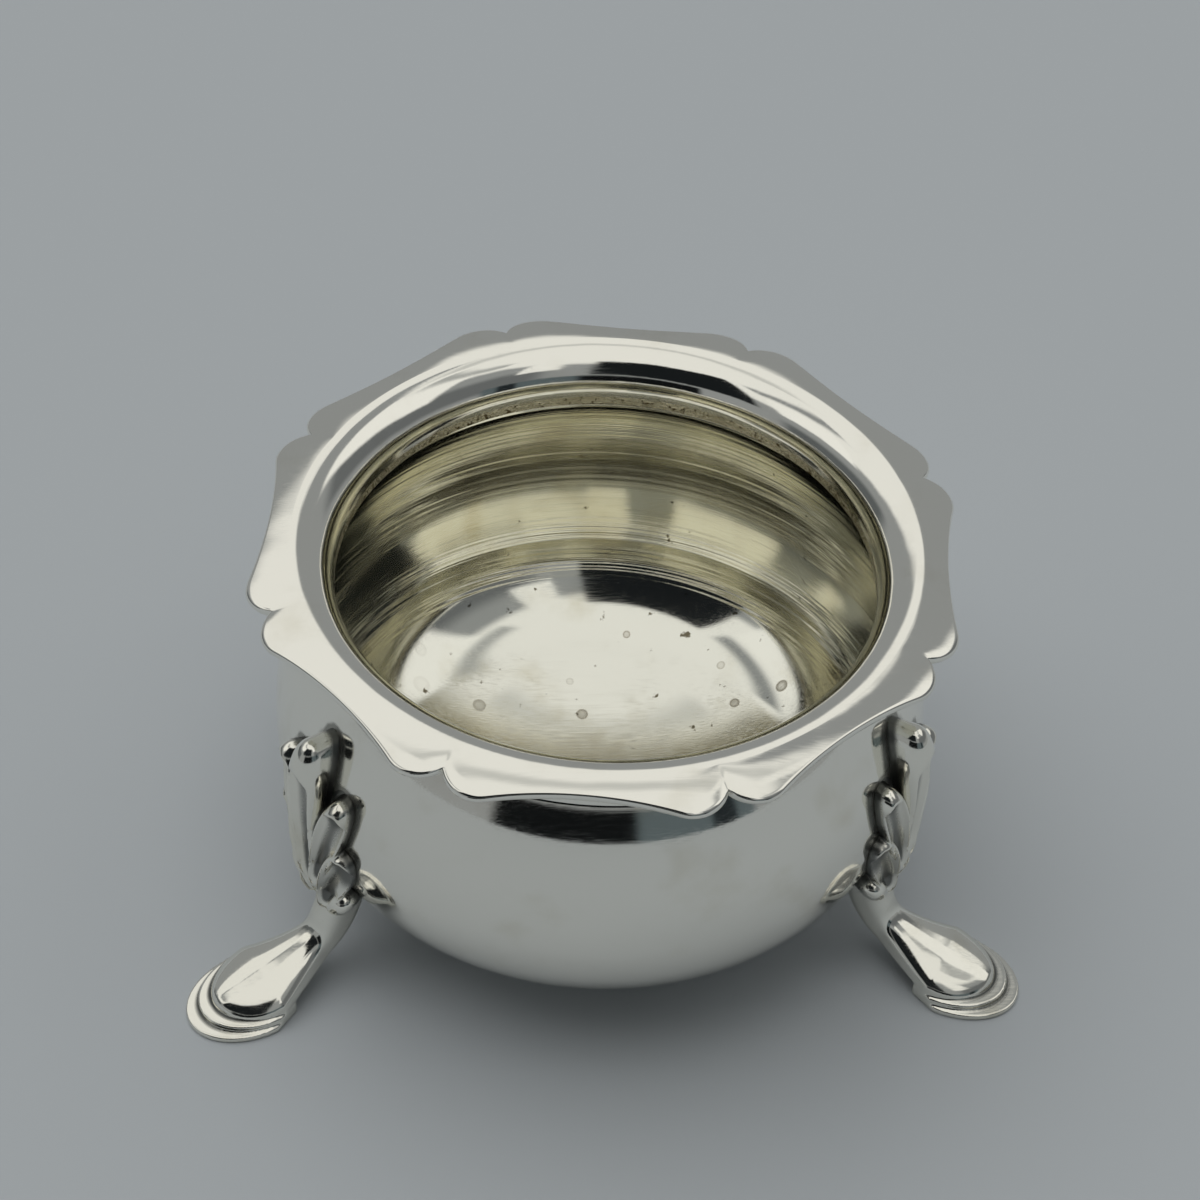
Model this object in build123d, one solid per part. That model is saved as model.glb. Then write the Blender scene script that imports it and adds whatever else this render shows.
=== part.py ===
from build123d import *
import math
import os

# A small round-bellied salt cellar on three feet, in millimetres.
# Z is up, the table is the plane Z = 0, and the bowl's axis is the Z axis.
# The part is five pieces that are soldered together:
# a spun bowl, a shaped rim on its neck, and three identical cast feet under its belly.

# Bowl: a thin shell, spun to an even wall
belly_radius = 28.0
belly_height = 17.8
lower_curve = 13.5
shoulder_spread = 10.0
base_turn = 20.0
neck_radius = 24.2
neck_height = 1.5
wall = 0.8

# Rim: a flared collar that sits on the neck and ends in a lobed edge
rim_height = 37.0
rim_sheet = 0.8
throat_curve = 3.5
throat_rise = 0.5
droop_curve = 12.0
fillet_curve = 2.0
collar_depth = 1.2
solder_gap = 0.05

# Lobed edge: eight brackets, each with an ear beside either notch
bracket_count = 8
flange_reach = 5.8
ear_radius = 3.0
ear_angle = 5.5
waist_inset = 1.9
notch_bearing = 15.0

# Feet: a shell knee on the belly, a slim ankle and a stepped toe on the table
foot_bearings = {"foot_back": 90.0, "foot_left": 210.0, "foot_right": 330.0}
toe_reach = 13.2
toe_half_width = 4.45
toe_length = 6.1
step_depth = 1.2
step_taper = 0.3
step_rise = 0.6
pad_slope = 0.45
ankle_half_width = 1.7
crown = 0.6

# Shell knee: fluted lobes, each a spindle of balls strung from the ankle to a round head.
# A place is (out from the belly, sideways, up from the widest height),
# and a ball is (share of the way from foot to head, radius).
KNEE_CORE = {"foot": (-1.4, 0.0, -8.0), "head": (-2.3, 0.0, 5.5), "balls": ((0, 1.7), (1, 3.6))}
MIDDLE_LOBE = {"foot": (0.3, 0.0, -7.2), "head": (0.0, 0.0, 8.6), "balls": ((0, 0.9), (0.74, 2.8), (1, 2.3))}
MIDDLE_SCOOP = {"foot": (4.0, 0.0, -7.5), "head": (10.5, 0.0, 10.5), "balls": ((0, 3.0), (1, 9.0))}
SIDE_LOBE = {"foot": (0.3, 0.9, -6.8), "head": (0.0, 3.7, 5.3), "balls": ((0, 0.8), (0.7, 2.1), (1, 2.0))}
SIDE_SCOOP = {"foot": (2.9, 1.1, -6.5), "head": (7.2, 3.6, 6.3), "balls": ((0, 2.0), (1, 6.0))}
LOW_LOBE = {"foot": (0.3, 1.2, -7.2), "head": (-0.3, 3.6, -1.8), "balls": ((0, 0.8), (1, 2.1))}
LOW_SCOOP = {"foot": (2.6, 2.3, -4.8), "head": (2.9, 2.9, -2.9), "balls": ((0, 1.7), (1, 2.0))}
ANKLE_ROLL = {"foot": (-0.4, 0.8, -7.7), "head": (-0.6, 2.9, -7.2), "balls": ((0, 1.0), (1, 0.9))}

# Leg: flat bars strung from the knee to the toe, each (out or back, up, heading below level, thickness).
# The ankle's places are counted out from the belly and up from its widest height,
# and the pad's are counted back from the toe's tip and up from the table.
ANKLE_BARS = ((-1.2, -6.6, 80, 2.6), (-0.9, -10.5, 60, 2.9))
PAD_BARS = (
    (12.6, 3.2, 45, 2.1),
    (9.8, 1.45, 22, 2.0),
    (6.7, 0.6, 12, 1.6),
    (3.0, 0.35, 6, 1.5),
    (0.0, 0.2, 5, 1.4),
)

# Derived places
rim_seat = rim_height - throat_curve - throat_rise
neck_base = rim_seat - neck_height
neck_bore = neck_radius - wall
shoulder_centre = belly_radius - shoulder_spread
shoulder_turn = math.acos((neck_radius - shoulder_centre) / shoulder_spread)
shoulder_rise = (neck_base - belly_height) / math.sin(shoulder_turn)
lower_centre = belly_radius - lower_curve
base_curve = lower_curve + lower_centre / math.sin(math.radians(base_turn))
base_centre = belly_height + (base_curve - lower_curve) * math.cos(math.radians(base_turn))


def profile_face(edges):
    """Close a list of edges, drawn as (radius, height), into a face on the XZ plane."""
    return Plane.XZ * make_face(edges)


def skin_edges(inset):
    """Edges of the bowl from its axis up to the neck, moved inwards by inset."""
    base = CenterArc((0, base_centre), base_curve - inset, -90, base_turn)
    lower = CenterArc((lower_centre, belly_height), lower_curve - inset, base_turn - 90, 90 - base_turn)
    spread = shoulder_spread - inset
    turn = math.degrees(math.acos((neck_radius - inset - shoulder_centre) / spread))
    rise = shoulder_rise - inset
    shoulder = EllipticalCenterArc((shoulder_centre, belly_height), spread, rise, arc_size=turn)
    return [base, lower, shoulder]


def make_bowl():
    """Spun shell of even wall, open at the neck, with a flat top edge for the rim."""
    outer = skin_edges(0)
    inner = skin_edges(wall)
    neck_outside = Line(outer[-1] @ 1, (neck_radius, rim_seat))
    neck_edge = Line((neck_radius, rim_seat), (neck_bore, rim_seat))
    neck_inside = Line((neck_bore, rim_seat), inner[-1] @ 1)
    axis_line = Line(inner[0] @ 0, outer[0] @ 0)
    edges = outer + [neck_outside, neck_edge, neck_inside] + inner + [axis_line]
    return revolve(profile_face(edges), Axis.Z)


def make_belly_form():
    """The bowl's outside as one filled form, which the feet are shaped against."""
    outer = skin_edges(0)
    top = outer[-1] @ 1
    lid = Line(top, (0, top.Y))
    axis_line = Line((0, top.Y), outer[0] @ 0)
    return revolve(profile_face(outer + [lid, axis_line]), Axis.Z)


def make_lobed_outline():
    """Flat edge of the rim: ears beside each notch, joined by a shallow hollow curve."""
    step = 360 / bracket_count
    reach = neck_radius + flange_reach
    waist = reach - waist_inset
    ear_centre = reach - ear_radius
    off_waist = math.radians(step / 2 - ear_angle)
    along = ear_centre * math.cos(off_waist)
    across = ear_centre * math.sin(off_waist)
    hollow = (ear_radius ** 2 - (waist - along) ** 2 - across ** 2) / (2 * (waist - along - ear_radius))
    meet = Vector(along, across) + Vector(waist + hollow - along, -across).normalized() * ear_radius
    sideways = ear_centre * math.sin(math.radians(ear_angle))
    notch = ear_centre * math.cos(math.radians(ear_angle)) + math.sqrt(ear_radius ** 2 - sideways ** 2)

    edges = []
    for index in range(bracket_count):
        middle = notch_bearing + (index + 0.5) * step
        meet_turn = math.degrees(math.atan2(meet.Y, meet.X))
        first_notch = polar(notch, middle - step / 2)
        first_ear = polar(reach, middle - step / 2 + ear_angle)
        first_meet = polar(meet.length, middle - meet_turn)
        last_meet = polar(meet.length, middle + meet_turn)
        last_ear = polar(reach, middle + step / 2 - ear_angle)
        last_notch = polar(notch, middle + step / 2)
        edges.append(ThreePointArc(first_notch, first_ear, first_meet))
        edges.append(ThreePointArc(first_meet, polar(waist, middle), last_meet))
        edges.append(ThreePointArc(last_meet, last_ear, last_notch))
    return make_face(edges)


def polar(radius, bearing):
    """Point at a radius and a bearing in degrees."""
    turn = math.radians(bearing)
    return (radius * math.cos(turn), radius * math.sin(turn))


def make_rim():
    """Collar, flared throat and drooping flange as one section, trimmed to the lobed edge."""
    bore = neck_radius - wall - solder_gap - rim_sheet
    collar = neck_radius - wall - solder_gap
    crest = bore + throat_curve
    throat_base = rim_seat + throat_rise
    spread = neck_radius + flange_reach + rim_sheet - crest
    droop_centre = rim_height - droop_curve
    droop_turn = math.degrees(math.asin(spread / droop_curve))
    fillet = min(fillet_curve, crest - neck_radius)
    under_crest = rim_height - rim_sheet

    throat = CenterArc((crest, throat_base), throat_curve, 180, -90)
    flange_top = CenterArc((crest, droop_centre), droop_curve, 90, -droop_turn)
    flange_under = CenterArc((crest, droop_centre), droop_curve - rim_sheet, 90 - droop_turn, droop_turn)
    under_fillet = CenterArc((neck_radius + fillet, under_crest - fillet), fillet, 90, 90)
    points = [
        under_fillet @ 1,
        (neck_radius, rim_seat),
        (collar, rim_seat),
        (collar, rim_seat - collar_depth),
        (bore, rim_seat - collar_depth),
        (bore, throat_base),
    ]
    edges = [throat, flange_top, Line(flange_top @ 1, flange_under @ 0), flange_under]
    if fillet < crest - neck_radius:
        edges.append(Line(flange_under @ 1, under_fillet @ 0))
    edges += [under_fillet] + [Line(points[i], points[i + 1]) for i in range(len(points) - 1)]
    flared = revolve(profile_face(edges), Axis.Z)
    trim = extrude(make_lobed_outline(), rim_height + rim_sheet)
    return flared & trim


def spindle(foot, head, balls, side=1):
    """Round-ended spindle through balls on one line; side mirrors it across the foot's middle plane."""
    start = knee_point(foot, side)
    run = knee_point(head, side) - start
    places = [share * run.length for share, radius in balls]
    radii = [radius for share, radius in balls]
    leans = [
        math.degrees(math.asin((radii[i + 1] - radii[i]) / (places[i + 1] - places[i])))
        for i in range(len(balls) - 1)
    ]
    turns = [-90] + [-lean for lean in leans] + [90]
    arcs = [
        CenterArc((0, place), radius, turns[i], turns[i + 1] - turns[i])
        for i, (place, radius) in enumerate(zip(places, radii))
    ]
    sides = [Line(arcs[i] @ 1, arcs[i + 1] @ 0) for i in range(len(arcs) - 1)]
    axis_line = Line(arcs[-1] @ 1, arcs[0] @ 0)
    return Plane(origin=start, z_dir=run) * revolve(profile_face(arcs + sides + [axis_line]), Axis.Z)


def knee_point(offset, side):
    """Place of a knee point for a foot that stands out along +X."""
    out, across, up = offset
    return Vector(belly_radius + out, side * across, belly_height + up)


def make_knee():
    """Fluted shell: a long middle lobe and two shorter ones on each side, all scooped."""
    knee = spindle(**KNEE_CORE) + (spindle(**MIDDLE_LOBE) - spindle(**MIDDLE_SCOOP))
    for side in (1, -1):
        knee += spindle(**SIDE_LOBE, side=side) - spindle(**SIDE_SCOOP, side=side)
        knee += spindle(**LOW_LOBE, side=side) - spindle(**LOW_SCOOP, side=side)
        knee += spindle(**ANKLE_ROLL, side=side)
    return knee


def toe_outline(step):
    """Plan of one layer of the toe: tapering flanks from the ankle, closed by a half ellipse."""
    half_width = toe_half_width - step * step_taper
    length = toe_length - step * (step_depth - step_taper / pad_slope)
    tip = belly_radius + toe_reach - step * step_depth
    widest = tip - length
    waist = widest - (half_width - ankle_half_width) / pad_slope
    heel = belly_radius - lower_curve / 2
    flanks = [
        Line((widest, -half_width), (waist, -ankle_half_width)),
        Line((waist, -ankle_half_width), (heel, -ankle_half_width)),
        Line((heel, -ankle_half_width), (heel, ankle_half_width)),
        Line((heel, ankle_half_width), (waist, ankle_half_width)),
        Line((waist, ankle_half_width), (widest, half_width)),
    ]
    toe = EllipticalCenterArc((widest, 0), length, half_width, start_angle=-90, arc_size=180)
    return make_face(flanks + [toe])


def leg_bar(out, up, heading, thickness):
    """Cross-section of the leg: a flat underside, upright sides and a crowned top."""
    turn = math.radians(heading)
    plane = Plane(
        origin=(belly_radius + out, 0, up),
        x_dir=(0, 1, 0),
        z_dir=(math.cos(turn), 0, -math.sin(turn)),
    )
    half_width = toe_half_width + crown
    low = -thickness / 2
    high = thickness / 2
    edges = [
        Line((-half_width, low), (half_width, low)),
        Line((half_width, low), (half_width, high)),
        ThreePointArc((half_width, high), (0, high + crown), (-half_width, high)),
        Line((-half_width, high), (-half_width, low)),
    ]
    return plane * make_face(edges)


def make_leg():
    """Ankle that runs out and down from the knee and spreads into the stepped toe."""
    bars = [leg_bar(out, belly_height + up, heading, thick) for out, up, heading, thick in ANKLE_BARS]
    bars += [leg_bar(toe_reach - back, up, heading, thick) for back, up, heading, thick in PAD_BARS]
    leg = loft(bars) & extrude(toe_outline(2), belly_height)
    layers_start = belly_radius + toe_reach - toe_length - 2 * step_depth
    toe_room = Pos(layers_start, 0, 0) * Box(
        2 * toe_length, 4 * toe_half_width, belly_height, align=(Align.MIN, Align.CENTER, Align.MIN))
    for step in (0, 1):
        leg += extrude(toe_outline(step), (step + 1) * step_rise) & toe_room
    table = Box(
        4 * belly_radius, 4 * belly_radius, belly_height, align=(Align.CENTER, Align.CENTER, Align.MAX))
    return leg - table


def make_foot():
    """One cast foot, standing out along +X, hollowed at the back to fit the belly."""
    return make_knee() + make_leg() - make_belly_form()


def main():
    """Build every piece and write it to its own file."""
    os.makedirs("parts", exist_ok=True)
    export_step(make_bowl(), "parts/bowl.step")
    export_step(make_rim(), "parts/rim.step")
    foot = make_foot()
    for name, bearing in foot_bearings.items():
        export_step(Rot(0, 0, bearing) * foot, f"parts/{name}.step")


main()
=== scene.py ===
"""Looks of a small round-bellied silver salt cellar on three cast feet."""

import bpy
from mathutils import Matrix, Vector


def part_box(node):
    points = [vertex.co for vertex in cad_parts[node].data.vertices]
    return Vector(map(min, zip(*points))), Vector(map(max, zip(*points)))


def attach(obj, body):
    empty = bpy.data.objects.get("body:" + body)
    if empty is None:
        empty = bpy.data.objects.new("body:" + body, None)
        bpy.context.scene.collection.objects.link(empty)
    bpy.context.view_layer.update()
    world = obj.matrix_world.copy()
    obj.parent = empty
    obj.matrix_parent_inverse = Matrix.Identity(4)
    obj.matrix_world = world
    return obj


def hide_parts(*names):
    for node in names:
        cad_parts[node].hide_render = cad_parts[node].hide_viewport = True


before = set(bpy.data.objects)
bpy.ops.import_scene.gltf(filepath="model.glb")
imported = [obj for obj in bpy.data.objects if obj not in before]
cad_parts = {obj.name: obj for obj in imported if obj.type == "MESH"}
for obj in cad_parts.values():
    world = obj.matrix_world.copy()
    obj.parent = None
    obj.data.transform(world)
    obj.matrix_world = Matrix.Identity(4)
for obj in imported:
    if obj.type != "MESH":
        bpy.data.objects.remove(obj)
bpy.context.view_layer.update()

import logging
import math
from dataclasses import dataclass, replace
from enum import Enum
from typing import Callable, Optional, Sequence

import bpy
import numpy as np
from mathutils import Matrix, Vector
from mathutils.kdtree import KDTree

MM = 0.001
BODY = "root"
MERGE_GAP = 1e-7
SMOOTH_ANGLE = math.radians(40)
TINY = 1e-12
SMOOTH = {"interpolation_type": "SMOOTHSTEP"}
LOG = logging.getLogger("salt_cellar")

Point = tuple[float, float]
Place = tuple[float, float, float]
Reading = Callable[[np.ndarray], np.ndarray]
Tree = bpy.types.NodeTree
Socket = bpy.types.NodeSocket
Piece = bpy.types.Object
Finish = bpy.types.Material


class Slot(Enum):
    """Material slots of the record."""

    SPUN = "spun_silver"
    FORMED = "formed_silver"
    CAST = "cast_silver"


def linear(hex_colour: str) -> tuple[float, float, float, float]:
    """Turn an sRGB hex colour into a linear one.

    Args:
        hex_colour: The colour, such as #F3F1E9.

    Returns:
        Red, green, blue and alpha.
    """
    shares = [int(hex_colour[i:i + 2], 16) / 255 for i in (1, 3, 5)]
    low, slope, offset, span, power = 0.04045, 12.92, 0.055, 1.055, 2.4
    red, green, blue = [s / slope if s <= low else ((s + offset) / span) ** power for s in shares]
    return (red, green, blue, 1.0)


def add_node(tree: Tree, kind: str, sockets: Optional[dict] = None, **settings) -> bpy.types.Node:
    """Add a node with its options, values and links.

    Args:
        tree: The node tree that gets it.
        kind: Blender's name for the node, after the word ShaderNode.
        sockets: Input name or number to a plain value, or to the output that feeds it.
        settings: Options of the node.

    Returns:
        The new node.
    """
    node = tree.nodes.new("ShaderNode" + kind)
    for option, value in settings.items():
        setattr(node, option, value)
    for socket, value in (sockets or {}).items():
        if isinstance(value, Socket):
            tree.links.new(value, node.inputs[socket])
        else:
            node.inputs[socket].default_value = value
    return node


def arc(centre: Point, radius: Point, start: float, turn: float, step: float) -> list[Point]:
    """Points along an arc, ends included.

    Args:
        centre: Middle of the arc, as (radius, height).
        radius: Half-widths across and up.
        start: First angle in degrees.
        turn: Angle that it sweeps, in degrees.
        step: Longest distance between points.

    Returns:
        The points in order.
    """
    count = max(2, math.ceil(math.radians(abs(turn)) * max(radius) / step))
    angles = [math.radians(start + turn * i / count) for i in range(count + 1)]
    return [(centre[0] + radius[0] * math.cos(a), centre[1] + radius[1] * math.sin(a)) for a in angles]


def straight(first: Point, last: Point, step: float) -> list[Point]:
    """Points along a line, without its first end.

    Args:
        first: Where the line starts.
        last: Where it ends.
        step: Longest distance between points.

    Returns:
        The points in order.
    """
    count = max(1, math.ceil(math.dist(first, last) / step))
    across, up = last[0] - first[0], last[1] - first[1]
    return [(first[0] + across * i / count, first[1] + up * i / count) for i in range(1, count + 1)]


def soft_step(value: np.ndarray, low: float, high: float) -> np.ndarray:
    """Rise smoothly from 0 at low to 1 at high."""
    share = np.clip((value - low) / (high - low), 0, 1)
    return share ** 2 * (3 - 2 * share)


def curve_through(knots: Sequence[float], share: np.ndarray) -> np.ndarray:
    """Read a smooth curve that passes through evenly spaced knots.

    Args:
        knots: Values along the way.
        share: Shares of the whole way, from 0 to 1.

    Returns:
        The curve's values there.
    """
    value = np.array(knots)
    slope = np.gradient(value)
    at = np.clip(share, 0, 1) * (len(value) - 1)
    first = np.minimum(at.astype(int), len(value) - 2)
    t = at - first
    start, end = value[first], value[first + 1]
    bend = (1 - t) * slope[first] - t * slope[first + 1] + (2 * t - 1) * (end - start)
    return start + t * (end - start) + t * (1 - t) * bend


def lathe(name: str, profile: Sequence[Point], steps: int, closed: bool) -> Piece:
    """Draw a profile with extruded points and turn it about the upright axis.

    Args:
        name: Name of the new object.
        profile: Points as (radius, height) in millimetres.
        steps: Number of steps in the full turn.
        closed: True where the profile's last point joins its first.

    Returns:
        The turned object, with its normals outwards.
    """
    bpy.ops.object.select_all(action="DESELECT")
    bpy.ops.mesh.primitive_plane_add(size=MM, location=(0, 0, 0))
    piece = bpy.context.active_object
    piece.name = name
    bpy.ops.object.mode_set(mode="EDIT")
    bpy.ops.mesh.select_all(action="SELECT")
    bpy.ops.mesh.merge(type="CENTER")
    bpy.ops.transform.translate(value=(profile[0][0] * MM, 0, profile[0][1] * MM))
    for before, after in zip(profile, profile[1:]):
        move = ((after[0] - before[0]) * MM, 0, (after[1] - before[1]) * MM)
        bpy.ops.mesh.extrude_region_move(TRANSFORM_OT_translate={"value": move})
    if closed:
        bpy.ops.mesh.select_all(action="SELECT")
        bpy.ops.mesh.remove_doubles(threshold=MERGE_GAP)
    bpy.ops.object.mode_set(mode="OBJECT")
    apply_modifier(
        piece, "SCREW", axis="Z", angle=2 * math.pi, steps=steps, render_steps=steps,
        use_merge_vertices=True, merge_threshold=MERGE_GAP)
    bpy.ops.object.mode_set(mode="EDIT")
    bpy.ops.mesh.select_all(action="SELECT")
    bpy.ops.mesh.remove_doubles(threshold=MERGE_GAP)
    bpy.ops.mesh.normals_make_consistent(inside=False)
    bpy.ops.object.mode_set(mode="OBJECT")
    return piece


def apply_modifier(piece: Piece, kind: str, **settings) -> None:
    """Add a modifier with its settings and apply it.

    Args:
        piece: The object that gets it.
        kind: Blender's name for the modifier.
        settings: Options of the modifier.
    """
    bpy.context.view_layer.objects.active = piece
    modifier = piece.modifiers.new(kind.lower(), kind)
    for option, value in settings.items():
        setattr(modifier, option, value)
    bpy.ops.object.modifier_apply(modifier=modifier.name)


def vertex_places(piece: Piece) -> np.ndarray:
    """Read where a piece's vertices are.

    Args:
        piece: The mesh object.

    Returns:
        One row for each vertex, in metres.
    """
    places = np.empty(len(piece.data.vertices) * 3)
    piece.data.vertices.foreach_get("co", places)
    return places.reshape(-1, 3)


def dress(piece: Piece, *finishes: Finish) -> None:
    """Give a piece its materials.

    Args:
        piece: The mesh object.
        finishes: The materials, in slot order.
    """
    piece.data.materials.clear()
    for finish in finishes:
        piece.data.materials.append(finish)


def paint_faces(piece: Piece, index: int, chosen: Callable[[Vector, Vector], bool]) -> None:
    """Give some faces another material of the piece.

    Args:
        piece: The mesh object.
        index: Number of that material among the piece's own.
        chosen: Says from a face's centre and normal whether it is one of them.
    """
    for face in piece.data.polygons:
        if chosen(face.center, face.normal):
            face.material_index = index


def seat(piece: Piece, node: str) -> None:
    """Let a piece stand for a node of the frame, and ride with it.

    Args:
        piece: The finished object.
        node: Name of the node.
    """
    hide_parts(node)
    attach(piece, BODY)
    LOG.info("%s: %d faces", piece.name, len(piece.data.polygons))


@dataclass(frozen=True)
class Specks:
    """Small dark pits or specks of dirt, of one size in millimetres. The cover's range sets how many."""

    size: float
    cover: Point
    colour: str

    def over(self, tree: Tree, place: Socket, colour: Socket) -> Socket:
        """Mix the specks into a colour.

        Args:
            tree: Node tree of the material.
            place: Place on the piece.
            colour: Colour between the specks.

        Returns:
            The mixed colour.
        """
        spread = add_node(tree, "TexNoise", {
            "Vector": place, "Scale": 1 / (self.size * MM), "Detail": 3.0,
        }).outputs["Fac"]
        share = add_node(tree, "MapRange", {
            "Value": spread, "From Min": self.cover[0], "From Max": self.cover[1],
        }, **SMOOTH).outputs["Result"]
        return add_node(tree, "Mix", {
            "Factor": share, 6: colour, 7: linear(self.colour),
        }, data_type="RGBA").outputs[2]


@dataclass(frozen=True)
class Silver:
    """Sterling silver, polished to a mirror by hand: bright, a little warm, finely scratched by wiping.

    Sizes are in millimetres. Scratches are drawn about three times as wide as real ones, so that they show.
    """

    name: str
    colour: str
    stain: str
    stain_range: Point = (0.52, 0.8)
    gloss: float = 0.05
    haze: float = 0.14
    haze_range: Point = (0.06, 0.24)
    cloud_size: float = 6.0
    wave_size: float = 9.0
    wave_depth: float = 0.010
    scratch_width: float = 0.12
    scratch_length: float = 5.0
    scratch_depth: float = 0.0012
    scratch_turns: Point = (0.4, 1.9)
    grain: float = 0.0
    grain_turn: float = 0.25
    specks: Optional[Specks] = None

    def material(self) -> Finish:
        """Build the finish as a node material.

        Returns:
            The material.
        """
        finish = bpy.data.materials.new(self.name)
        finish.use_nodes = True
        tree = finish.node_tree
        tree.nodes.clear()
        place = add_node(tree, "TexCoord").outputs["Object"]
        marks = add_node(tree, "Math", {
            i: self.scratches(tree, place, turn) for i, turn in enumerate(self.scratch_turns)
        }, operation="MULTIPLY").outputs[0]
        colour, rough = self.worn(tree, place, *self.polish(tree, place, marks))
        around = add_node(tree, "Tangent", direction_type="RADIAL", axis="Z")
        surface = add_node(tree, "BsdfPrincipled", {
            "Base Color": colour,
            "Metallic": 1.0,
            "Roughness": rough,
            "Normal": self.relief(tree, place, self.wavy(tree, place, marks)),
            "Anisotropic": self.grain,
            "Anisotropic Rotation": self.grain_turn,
            "Tangent": around.outputs["Tangent"],
        })
        add_node(tree, "OutputMaterial", {"Surface": surface.outputs["BSDF"]})
        return finish

    def scratches(self, tree: Tree, place: Socket, turn: float) -> Socket:
        """Fine wiping marks that all run one way.

        Args:
            tree: Node tree of the material.
            place: Place on the piece.
            turn: The way that they run, in radians.

        Returns:
            How strong they are, from 0 to 1.
        """
        across, along = 1 / (self.scratch_width * MM), 1 / (self.scratch_length * MM)
        mapped = add_node(tree, "Mapping", {
            "Vector": place, "Rotation": (turn, turn / 2, turn * 2), "Scale": (along, across, across),
        })
        return add_node(tree, "TexNoise", {
            "Vector": mapped.outputs["Vector"], "Scale": 1.0, "Detail": 2.0,
        }).outputs["Fac"]

    def polish(self, tree: Tree, place: Socket, marks: Socket) -> tuple[Socket, Socket]:
        """Colour and roughness of the mirror polish, with a thin cloud of haze.

        Args:
            tree: Node tree of the material.
            place: Place on the piece.
            marks: Wiping marks.

        Returns:
            Colour and roughness.
        """
        cloud = add_node(tree, "TexNoise", {
            "Vector": place, "Scale": 1 / (self.cloud_size * MM), "Detail": 5.0,
        }).outputs["Fac"]
        smear = add_node(tree, "Math", {0: cloud, 1: marks}, operation="MULTIPLY").outputs[0]
        rough, stained = [add_node(tree, "MapRange", {
            "Value": value, "From Min": low, "From Max": high, "To Min": start, "To Max": end,
        }, **SMOOTH).outputs["Result"] for value, (low, high), start, end in (
            (smear, self.haze_range, self.gloss, self.haze),
            (cloud, self.stain_range, 0.0, 1.0),
        )]
        colour = add_node(tree, "Mix", {
            "Factor": stained, 6: linear(self.colour), 7: linear(self.stain),
        }, data_type="RGBA").outputs[2]
        return colour, rough

    def wavy(self, tree: Tree, place: Socket, marks: Socket) -> Socket:
        """Normal of the polished skin: slow waves left by the hand, and the wiping marks on them.

        Args:
            tree: Node tree of the material.
            place: Place on the piece.
            marks: Wiping marks.

        Returns:
            The normal.
        """
        waves = add_node(tree, "TexNoise", {
            "Vector": place, "Scale": 1 / (self.wave_size * MM), "Detail": 1.0,
        }).outputs["Fac"]
        swell = add_node(tree, "Bump", {"Height": waves, "Distance": self.wave_depth * MM})
        return add_node(tree, "Bump", {
            "Height": marks, "Distance": self.scratch_depth * MM, "Normal": swell.outputs["Normal"],
        }).outputs["Normal"]

    def worn(self, tree: Tree, place: Socket, colour: Socket, rough: Socket) -> tuple[Socket, Socket]:
        """Colour and roughness with what use has left on them, which on plain polish is specks at most."""
        marked = self.specks.over(tree, place, colour) if self.specks else colour
        return marked, rough

    def relief(self, tree: Tree, place: Socket, normal: Socket) -> Socket:
        """Normal with the marks of making; plain polish has nothing more."""
        return normal


@dataclass(frozen=True)
class GrimySilver(Silver):
    """Polished silver with dark tarnish where a vertex attribute says that no cloth reaches."""

    grime: str = "#757673"
    grime_mark: str = "crevice"
    grime_range: Point = (0.1, 0.8)
    grime_rough: float = 0.25

    def worn(self, tree: Tree, place: Socket, colour: Socket, rough: Socket) -> tuple[Socket, Socket]:
        """Darken and dull the crevices.

        Args:
            tree: Node tree of the material.
            place: Place on the piece; not used.
            colour: Colour of the polish.
            rough: Roughness of the polish.

        Returns:
            Colour and roughness.
        """
        mark = add_node(tree, "Attribute", attribute_name=self.grime_mark).outputs["Fac"]
        grime = add_node(tree, "MapRange", {
            "Value": mark, "From Min": self.grime_range[0], "From Max": self.grime_range[1],
        }, **SMOOTH).outputs["Result"]
        dull = add_node(tree, "Math", {
            0: grime, 1: self.grime_rough, 2: rough,
        }, operation="MULTIPLY_ADD").outputs[0]
        dark = add_node(tree, "Mix", {
            "Factor": grime, 6: colour, 7: linear(self.grime),
        }, data_type="RGBA").outputs[2]
        return dark, dull


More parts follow.
